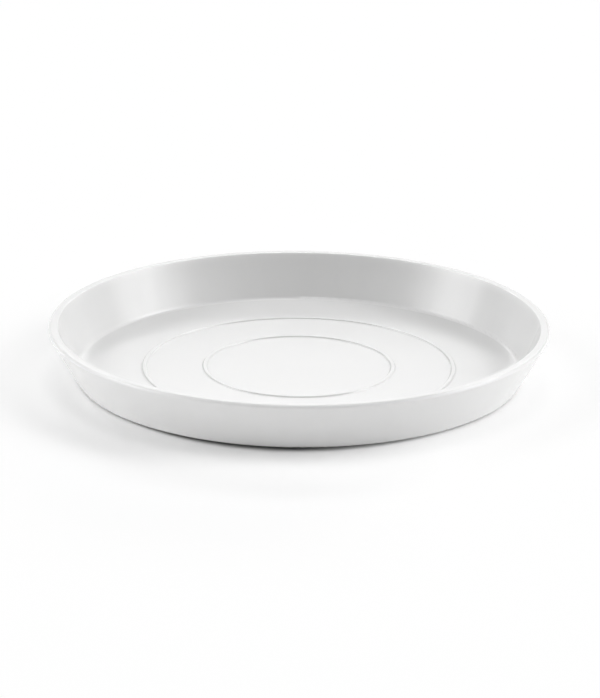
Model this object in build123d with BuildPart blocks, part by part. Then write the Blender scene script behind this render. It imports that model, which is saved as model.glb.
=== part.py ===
from build123d import *
import os
from math import asin, atan2, cos, hypot, sin, tan

# A round plant saucer, in millimetres: +Z up, the table at z = 0, the dish's axis on Z.

# Dish
rim_radius = 150.0
overall_height = 32.2
rim_width = 5.4
rim_outer_round = 1.5
rim_inner_round = 0.8
wall_flare = 16.6
base_round = 2.0
wall_at_floor = 2.0
floor_thickness = 3.2
floor_round = 2.5

# Raised rings on the floor, which keep a pot out of the standing water
outer_ring_inset = 40.2
ring_spacing = 36.4
ring_width = 3.0
ring_crown_width = 1.9
ring_height = 0.9
ring_crown_round = 0.45
ring_foot_round = 0.4

# Mark in the middle of the underside, where the mould was filled
gate_radius = 5.0
gate_depth = 0.6
gate_stub_radius = 1.5
gate_stub_height = 0.35

# Stick-on feet, each in a blind pocket of the underside
stand_off = 1.2
pad_count = 6
pad_radius = 8.0
pad_inset = 22.0
pad_edge_round = 0.6
pocket_depth = 1.0
pocket_clearance = 0.4
tape_thickness = 0.4
tape_margin = 0.6

# Heights and radii that follow from the sizes above
underside_z = stand_off
floor_z = underside_z + floor_thickness
crown_z = floor_z + ring_height
pocket_roof_z = underside_z + pocket_depth
pad_top_z = pocket_roof_z - tape_thickness
base_radius = rim_radius - wall_flare
pad_circle_radius = base_radius - pad_inset
rim_inner_radius = rim_radius - rim_width

# The wall's outer face leaves the base's corner and runs into the rim's round without a step
round_r = rim_radius - rim_outer_round
round_z = overall_height - rim_outer_round
to_round = hypot(round_r - base_radius, round_z - underside_z)
wall_angle = atan2(round_z - underside_z, round_r - base_radius) - asin(rim_outer_round / to_round)
wall_run = (to_round**2 - rim_outer_round**2) ** 0.5
floor_radius = base_radius + floor_thickness / tan(wall_angle) - wall_at_floor
outer_ring_radius = floor_radius - outer_ring_inset
inner_ring_radius = outer_ring_radius - ring_spacing

# Corners of the dish's section, as (radius, height)
base_corner = (base_radius, underside_z)
wall_top = (base_radius + wall_run * cos(wall_angle), underside_z + wall_run * sin(wall_angle))
rim_outermost = (rim_radius, round_z)
rim_top_outer = (round_r, overall_height)
rim_top_inner = (rim_inner_radius, overall_height)
floor_corner = (floor_radius, floor_z)
floor_middle = (0, floor_z)
base_middle = (0, underside_z)


def ring_section(radius):
    """Corners of one raised ring, from its outer foot over its crown to its inner foot."""
    foot = ring_width / 2
    crown = ring_crown_width / 2
    return [
        (radius + foot, floor_z),
        (radius + crown, crown_z),
        (radius - crown, crown_z),
        (radius - foot, floor_z),
    ]


def nearest(sketch, corners):
    """The sketch's vertices at the given corners."""
    return [sketch.vertices().sort_by_distance(corner)[0] for corner in corners]


rings = [ring_section(outer_ring_radius), ring_section(inner_ring_radius)]
inside = [rim_top_inner, floor_corner, *rings[0], *rings[1], floor_middle]
ring_feet = [ring[i] for ring in rings for i in (0, 3)]
ring_crowns = [ring[i] for ring in rings for i in (1, 2)]

os.makedirs("parts", exist_ok=True)

# Dish: one moulding, turned about Z, with blind pockets and the filling mark in its underside
with BuildPart() as saucer_body:
    with BuildSketch(Plane.XZ) as section:
        with BuildLine():
            Polyline(base_middle, base_corner, wall_top)
            ThreePointArc(wall_top, rim_outermost, rim_top_outer)
            Polyline(rim_top_outer, *inside, base_middle)
        make_face()
        fillet(nearest(section, [base_corner]), base_round)
        fillet(nearest(section, [rim_top_inner]), rim_inner_round)
        fillet(nearest(section, [floor_corner]), floor_round)
        fillet(nearest(section, ring_feet), ring_foot_round)
        fillet(nearest(section, ring_crowns), ring_crown_round)
    revolve(axis=Axis.Z)
    with BuildSketch(Plane.XY.offset(underside_z)):
        with PolarLocations(pad_circle_radius, pad_count):
            Circle(pad_radius + pocket_clearance)
    extrude(amount=pocket_depth, mode=Mode.SUBTRACT)
    with BuildSketch(Plane.XY.offset(underside_z)):
        Circle(gate_radius)
        Circle(gate_stub_radius, mode=Mode.SUBTRACT)
    extrude(amount=gate_depth, mode=Mode.SUBTRACT)
    with BuildSketch(Plane.XY.offset(underside_z)):
        Circle(gate_stub_radius)
    extrude(amount=gate_depth - gate_stub_height, mode=Mode.SUBTRACT)

saucer_body.part.label = "saucer_body"
export_step(saucer_body.part, "parts/saucer_body.step")

# Feet and the adhesive discs between each foot and the roof of its pocket
for number, place in enumerate(PolarLocations(pad_circle_radius, pad_count), start=1):
    with BuildPart() as foot_pad:
        with BuildSketch(Plane(place.position)):
            Circle(pad_radius)
        extrude(amount=pad_top_z)
        fillet(foot_pad.edges().sort_by(Axis.Z)[0], pad_edge_round)
    foot_pad.part.label = f"foot_pad_{number}"
    export_step(foot_pad.part, f"parts/foot_pad_{number}.step")

    with BuildPart() as pad_tape:
        with BuildSketch(Plane(place.position).offset(pad_top_z)):
            Circle(pad_radius - tape_margin)
        extrude(amount=tape_thickness)
    pad_tape.part.label = f"pad_tape_{number}"
    export_step(pad_tape.part, f"parts/pad_tape_{number}.step")
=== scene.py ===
import math

import bpy
from mathutils import Matrix, Vector

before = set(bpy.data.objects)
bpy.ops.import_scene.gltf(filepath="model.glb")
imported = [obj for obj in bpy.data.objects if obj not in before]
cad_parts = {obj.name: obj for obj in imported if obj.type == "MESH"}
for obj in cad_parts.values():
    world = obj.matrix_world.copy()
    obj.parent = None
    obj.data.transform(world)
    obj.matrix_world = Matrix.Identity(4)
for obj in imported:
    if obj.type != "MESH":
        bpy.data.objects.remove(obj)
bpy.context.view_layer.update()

# Lengths are in metres and colours are linear

# View of the photograph: from the front, above, through a long lens
PHOTO_LONG_SIDE_PX = 698
FOCAL_PX = 3126.0
SENSOR_MM = 36.0
PITCH_DEG = 18.51
ROLL_DEG = 0.52
CAMERA_DISTANCE = 1.88
AIM = Vector((0.00056, 0.0, 0.01516))

# Soft boxes: name; azimuth, elevation, width and height in degrees, seen from the dish; watts
LAMP_DISTANCE = 4.0
LAMPS = [
    ("left_strip", 200, 0.7, 26, 0.9, 31.0),
    ("front_strip", 270, 0.7, 26, 0.9, 9.0),
    ("right_strip", 335, 0.7, 26, 0.9, 23.0),
    ("left_low", 180, 16, 24, 16, 23.5),
    ("left_front", 195, 20, 24, 8, 10.0),
    ("left_high", 180, 35, 30, 20, 53.0),
    ("left_back", 150, 40, 26, 14, 13.0),
    ("right_low", 3, 16, 24, 16, 21.0),
    ("right_front", 345, 20, 24, 8, 9.5),
    ("right_high", 0, 35, 30, 20, 71.5),
    ("right_back", 30, 40, 26, 14, 18.0),
    ("right_top", 315, 60, 26, 14, 10.0),
    ("back_box", 90, 30, 30, 9, 29.0),
    ("overhead", 90, 83, 22, 30, 31.5),
]

# White table
FLOOR_SIZE = 16.0
FLOOR_WHITE = 0.97
FLOOR_ROUGHNESS = 0.9

# Painted shadow on the table under the front of the dish: its level, its middle and the span of its soft
# edge
PAINTED_SHADOW_LEVEL = 0.22
PAINTED_SHADOW_CENTRE = (-0.002, -0.0225, 0.0)
PAINTED_SHADOW_EDGE = (0.109, 0.117)

# Painted light that fades the dish's shadow to white: beside the dish by a share for each x, and evenly
# further out
DISH_CENTRE = (0.0, 0.0, 0.0)
PAINTED_LIGHT_NEAR_EDGE = (0.117, 0.165)
PAINTED_LIGHT_NEAR = [(-0.2, 0.88), (-0.1, 0.06), (0.0, 0.06), (0.08, 1.0), (0.2, 0.7)]
PAINTED_LIGHT_FAR_EDGE = (0.16, 0.36)
PAINTED_LIGHT_FAR = 0.94

# Range in which most values of a noise lie
NOISE_LOW = 0.3
NOISE_HIGH = 0.7

# Dish: white plastic with cloudy shades, flow marks, speckled gloss, slow waves and a fine grain
DISH_WHITE = (0.776, 0.776, 0.774)
DISH_SHADE = (0.758, 0.758, 0.756)
DISH_IOR = 1.49
DISH_ROUGHNESS = (0.205, 0.235)
SPECKLE_SIZE = 0.0022
CLOUD_SIZE = 0.06
CLOUD_SHARE = 0.6
FLOW_RADIANS = 0.07
FLOW_SHARE = 0.4
FLOW_ROUGHNESS = (-0.012, 0.022)
WAVE_SIZE = 0.03
WAVE_DEPTH = 0.0002
WAVE_STRENGTH = 0.12
GRAIN_SIZE = 0.0007
GRAIN_DEPTH = 0.00006

# Underside of the dish: rougher and grainier, as far as a face looks down
LOOKS_DOWN = (-0.75, -0.95)
UNDERSIDE_ROUGHNESS = 0.16
GRAIN_STRENGTH = (0.12, 0.5)

# Pads: dark rubber, dusty and gritty
RUBBER_DARK = (0.075, 0.075, 0.077)
RUBBER_PALE = (0.125, 0.124, 0.122)
RUBBER_ROUGHNESS = (0.66, 0.86)
DUST_SIZE = 0.003
GRIT_SIZE = 0.0004
GRIT_DEPTH = 0.00008
GRIT_STRENGTH = 0.6

# Tape: off-white foam with small closed cells
FOAM_WHITE = (0.74, 0.73, 0.69)
FOAM_SHADE = (0.62, 0.61, 0.57)
FOAM_ROUGHNESS = (0.6, 0.75)
FOAM_CLOUD_SIZE = 0.004
CELLS_PER_METRE = 2600.0
CELL_DEPTH = 0.00008
CELL_STRENGTH = 0.7


def new_material(name):
    """A node material, with its node tree and its surface shader."""
    material = bpy.data.materials.new(name)
    material.use_nodes = True
    tree = material.node_tree
    return material, tree, tree.nodes["Principled BSDF"]


def add(tree, kind, settings=None, **inputs):
    """A new node of that kind, with its settings and the values of its inputs."""
    made = tree.nodes.new("ShaderNode" + kind)
    for key, value in (settings or {}).items():
        setattr(made, key, value)
    for key, value in inputs.items():
        made.inputs[key.replace("_", " ")].default_value = value
    return made


def feed(tree, socket, value):
    """Gives an input a number, or links it to an output."""
    if isinstance(value, float):
        socket.default_value = value
    else:
        tree.links.new(value, socket)


def noise(tree, place, size, detail=2.0):
    """Cloudy values from 0 to 1, with blobs of about the given size."""
    made = add(tree, "TexNoise", Scale=1.0 / size, Detail=detail)
    tree.links.new(place, made.inputs["Vector"])
    return made.outputs["Fac"]


def spread(tree, value, low, high, start=NOISE_LOW, end=NOISE_HIGH, curve="LINEAR"):
    """The value's stretch from start to end, laid over the range from low to high."""
    limits = {"From_Min": start, "From_Max": end, "To_Min": low, "To_Max": high}
    made = add(tree, "MapRange", {"interpolation_type": curve}, **limits)
    tree.links.new(value, made.inputs["Value"])
    return made.outputs["Result"]


def ease(tree, value, low, high, start, end):
    """As spread, but easing in and out."""
    return spread(tree, value, low, high, start, end, "SMOOTHSTEP")


def reckon(tree, operation, first, second):
    """The sum, product or greater of two values, each a socket or a number."""
    made = add(tree, "Math", {"operation": operation})
    feed(tree, made.inputs[0], first)
    feed(tree, made.inputs[1], second)
    return made.outputs[0]


def between(tree, share, first, second):
    """A value between the first and the second, by the given share of the second."""
    made = add(tree, "Mix")
    tree.links.new(share, made.inputs["Factor"])
    feed(tree, made.inputs["A"], first)
    feed(tree, made.inputs["B"], second)
    return made.outputs["Result"]


def along(tree, vector, axis):
    """One axis of a vector."""
    made = add(tree, "SeparateXYZ")
    tree.links.new(vector, made.inputs[0])
    return made.outputs[axis]


def distance(tree, place, centre):
    """Distance of a place from a fixed point."""
    made = add(tree, "VectorMath", {"operation": "DISTANCE"})
    made.inputs[1].default_value = centre
    tree.links.new(place, made.inputs[0])
    return made.outputs["Value"]


def heading(tree, place):
    """Direction of a place from the upright axis, as a point on a circle of radius 1."""
    flat = add(tree, "VectorMath", {"operation": "MULTIPLY"})
    flat.inputs[1].default_value = (1.0, 1.0, 0.0)
    tree.links.new(place, flat.inputs[0])
    unit = add(tree, "VectorMath", {"operation": "NORMALIZE"})
    tree.links.new(flat.outputs[0], unit.inputs[0])
    return unit.outputs[0]


def ramp_across(tree, value, stops):
    """Values that change in straight lines from stop to stop, each stop a place and its value."""
    start, end = stops[0][0], stops[-1][0]
    made = add(tree, "ValToRGB")
    marks = made.color_ramp.elements
    while len(marks) < len(stops):
        marks.new(0.5)
    for mark, (where, level) in zip(marks, stops):
        mark.position = (where - start) / (end - start)
        mark.color = (level, level, level, 1.0)
    tree.links.new(spread(tree, value, 0.0, 1.0, start, end), made.inputs["Fac"])
    return made.outputs["Color"]


def tint(tree, shader, share, first, second):
    """Colours the surface between two shades, by the given share of the second."""
    made = add(tree, "Mix", {"data_type": "RGBA"})
    made.inputs["A"].default_value = (*first, 1.0)
    made.inputs["B"].default_value = (*second, 1.0)
    tree.links.new(share, made.inputs["Factor"])
    tree.links.new(made.outputs["Result"], shader.inputs["Base Color"])


def bump(tree, height, depth, strength, under=None):
    """Relief of the given depth, over the relief that lies under it."""
    made = add(tree, "Bump", Distance=depth)
    tree.links.new(height, made.inputs["Height"])
    feed(tree, made.inputs["Strength"], strength)
    if under is not None:
        tree.links.new(under, made.inputs["Normal"])
    return made.outputs["Normal"]


def seen(tree):
    """1 for what is seen directly, mirrored or through glass, 0 for what only gives light."""
    path = add(tree, "LightPath")
    mirrored = reckon(tree, "MAXIMUM", path.outputs["Is Glossy Ray"], path.outputs["Is Transmission Ray"])
    return reckon(tree, "MAXIMUM", path.outputs["Is Camera Ray"], mirrored)


def dish_plastic():
    """Satin white moulding: fine grain, faint flow marks from its middle outwards, a rougher underside."""
    material, tree, shader = new_material("dish_plastic")
    coordinates = add(tree, "TexCoord")
    place = coordinates.outputs["Object"]
    facing = along(tree, coordinates.outputs["Normal"], "Z")
    underside = spread(tree, facing, 0.0, 1.0, *LOOKS_DOWN)
    flow = noise(tree, heading(tree, place), FLOW_RADIANS, detail=3.0)
    clouds = noise(tree, place, CLOUD_SIZE)
    speckle = noise(tree, place, SPECKLE_SIZE, detail=3.0)
    grain = noise(tree, place, GRAIN_SIZE, detail=3.0)
    waves = noise(tree, place, WAVE_SIZE, detail=1.0)

    cloud_shade = spread(tree, clouds, 0.0, CLOUD_SHARE)
    flow_shade = spread(tree, flow, 0.0, FLOW_SHARE)
    tint(tree, shader, reckon(tree, "ADD", cloud_shade, flow_shade), DISH_WHITE, DISH_SHADE)

    rough = reckon(tree, "ADD", spread(tree, speckle, *DISH_ROUGHNESS), spread(tree, flow, *FLOW_ROUGHNESS))
    rougher = reckon(tree, "MULTIPLY", underside, UNDERSIDE_ROUGHNESS)
    tree.links.new(reckon(tree, "ADD", rough, rougher), shader.inputs["Roughness"])

    swell = bump(tree, waves, WAVE_DEPTH, WAVE_STRENGTH)
    grain_strength = spread(tree, underside, *GRAIN_STRENGTH, 0.0, 1.0)
    tree.links.new(bump(tree, grain, GRAIN_DEPTH, grain_strength, swell), shader.inputs["Normal"])
    shader.inputs["IOR"].default_value = DISH_IOR
    return material


def pad_rubber():
    """Dark anti-slip rubber: matte, gritty, a little dusty."""
    material, tree, shader = new_material("pad_rubber")
    place = add(tree, "TexCoord").outputs["Object"]
    dust = noise(tree, place, DUST_SIZE, detail=4.0)
    grit = noise(tree, place, GRIT_SIZE, detail=3.0)
    tint(tree, shader, spread(tree, dust, 0.0, 1.0), RUBBER_DARK, RUBBER_PALE)
    tree.links.new(spread(tree, dust, *RUBBER_ROUGHNESS), shader.inputs["Roughness"])
    tree.links.new(bump(tree, grit, GRIT_DEPTH, GRIT_STRENGTH), shader.inputs["Normal"])
    return material


def tape_foam():
    """Adhesive foam: off-white, with small closed cells."""
    material, tree, shader = new_material("tape_foam")
    place = add(tree, "TexCoord").outputs["Object"]
    cells = add(tree, "TexVoronoi", Scale=CELLS_PER_METRE)
    tree.links.new(place, cells.inputs["Vector"])
    clouds = noise(tree, place, FOAM_CLOUD_SIZE)
    tint(tree, shader, spread(tree, clouds, 0.0, 1.0), FOAM_WHITE, FOAM_SHADE)
    tree.links.new(spread(tree, clouds, *FOAM_ROUGHNESS), shader.inputs["Roughness"])
    relief = bump(tree, cells.outputs["Distance"], CELL_DEPTH, CELL_STRENGTH)
    tree.links.new(relief, shader.inputs["Normal"])
    return material


def floor_white():
    """White table that keeps the dish's shadow, with a painted shadow under the front of the dish and
    painted light that fades the shadow to white, as the photograph shows it.
    """
    material, tree, shader = new_material("floor_white")
    shader.inputs["Roughness"].default_value = FLOOR_ROUGHNESS
    place = add(tree, "TexCoord").outputs["Object"]
    looked_at = seen(tree)

    # Painted shadow: the table is shown darker under the front of the dish, to what is seen directly or in
    # a reflection
    painted_shadow = ease(tree, distance(tree, place, PAINTED_SHADOW_CENTRE), PAINTED_SHADOW_LEVEL, FLOOR_WHITE, *PAINTED_SHADOW_EDGE)
    tree.links.new(between(tree, looked_at, FLOOR_WHITE, painted_shadow), shader.inputs["Base Color"])

    # Painted light: a white glow mixed into the table beside and away from the dish fades its shadow, where
    # seen
    away = distance(tree, place, DISH_CENTRE)
    painted_light_near_mask = ease(tree, away, 0.0, 1.0, *PAINTED_LIGHT_NEAR_EDGE)
    painted_light_near = reckon(tree, "MULTIPLY", painted_light_near_mask, ramp_across(tree, along(tree, place, "X"), PAINTED_LIGHT_NEAR))
    painted_light = between(tree, ease(tree, away, 0.0, 1.0, *PAINTED_LIGHT_FAR_EDGE), painted_light_near, PAINTED_LIGHT_FAR)
    # The glow that paints the light over the shadow
    white = add(tree, "Emission")
    mix = add(tree, "MixShader")
    tree.links.new(reckon(tree, "MULTIPLY", painted_light, looked_at), mix.inputs["Fac"])
    tree.links.new(shader.outputs[0], mix.inputs[1])
    tree.links.new(white.outputs[0], mix.inputs[2])
    tree.links.new(mix.outputs[0], tree.nodes["Material Output"].inputs["Surface"])
    return material


def make_camera():
    """The photograph's camera, turned a little about its own axis."""
    data = bpy.data.cameras.new("camera")
    data.sensor_width = SENSOR_MM
    data.lens = FOCAL_PX / PHOTO_LONG_SIDE_PX * SENSOR_MM
    camera = bpy.data.objects.new("camera", data)
    bpy.context.scene.collection.objects.link(camera)
    pitch = math.radians(PITCH_DEG)
    back = Vector((0.0, -math.cos(pitch), math.sin(pitch)))
    roll = Matrix.Rotation(math.radians(ROLL_DEG), 3, back)
    right = roll @ Vector((1.0, 0.0, 0.0))
    up = back.cross(right)
    eye = AIM + CAMERA_DISTANCE * back
    axes = Matrix((right, up, back)).transposed()
    camera.matrix_world = Matrix.Translation(eye) @ axes.to_4x4()
    bpy.context.scene.camera = camera


def lamp_span(angle):
    """Length that fills the given angle at the lamps' distance."""
    return 2 * LAMP_DISTANCE * math.tan(math.radians(angle / 2))


def make_lamps():
    """Soft boxes around the dish, each facing it."""
    for name, azimuth, elevation, wide, high, watts in LAMPS:
        data = bpy.data.lights.new(name, "AREA")
        data.shape = "RECTANGLE"
        data.size = lamp_span(wide)
        data.size_y = lamp_span(high)
        data.energy = watts
        lamp = bpy.data.objects.new(name, data)
        bpy.context.scene.collection.objects.link(lamp)
        turn, rise = math.radians(azimuth), math.radians(elevation)
        level = math.cos(rise)
        towards = Vector((level * math.cos(turn), level * math.sin(turn), math.sin(rise)))
        lamp.location = towards * LAMP_DISTANCE
        lamp.rotation_mode = "QUATERNION"
        lamp.rotation_quaternion = towards.to_track_quat("Z", "Y")


def make_world():
    """A white room, as far as it is seen directly or in a reflection."""
    world = bpy.data.worlds.new("white_room")
    world.use_nodes = True
    tree = world.node_tree
    bpy.context.scene.world = world
    background = tree.nodes["Background"]
    background.inputs["Color"].default_value = (1.0, 1.0, 1.0, 1.0)
    tree.links.new(seen(tree), background.inputs["Strength"])


def make_floor():
    """The table, which is no part of the object."""
    mesh = bpy.data.meshes.new("floor")
    half = FLOOR_SIZE / 2
    corners = [(-half, -half, 0), (half, -half, 0), (half, half, 0), (-half, half, 0)]
    mesh.from_pydata(corners, [], [(0, 1, 2, 3)])
    mesh.materials.append(floor_white())
    floor = bpy.data.objects.new("floor", mesh)
    bpy.context.scene.collection.objects.link(floor)


def dress():
    """Gives each solid the finish of its kind, which is its name without its number."""
    finishes = {"saucer_body": dish_plastic(), "foot_pad": pad_rubber(), "pad_tape": tape_foam()}
    for name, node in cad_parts.items():
        kind = name.rstrip("0123456789_")
        node.data.materials.clear()
        node.data.materials.append(finishes[kind])


make_camera()
make_lamps()
make_world()
make_floor()
dress()
bpy.context.scene.view_settings.view_transform = "Standard"
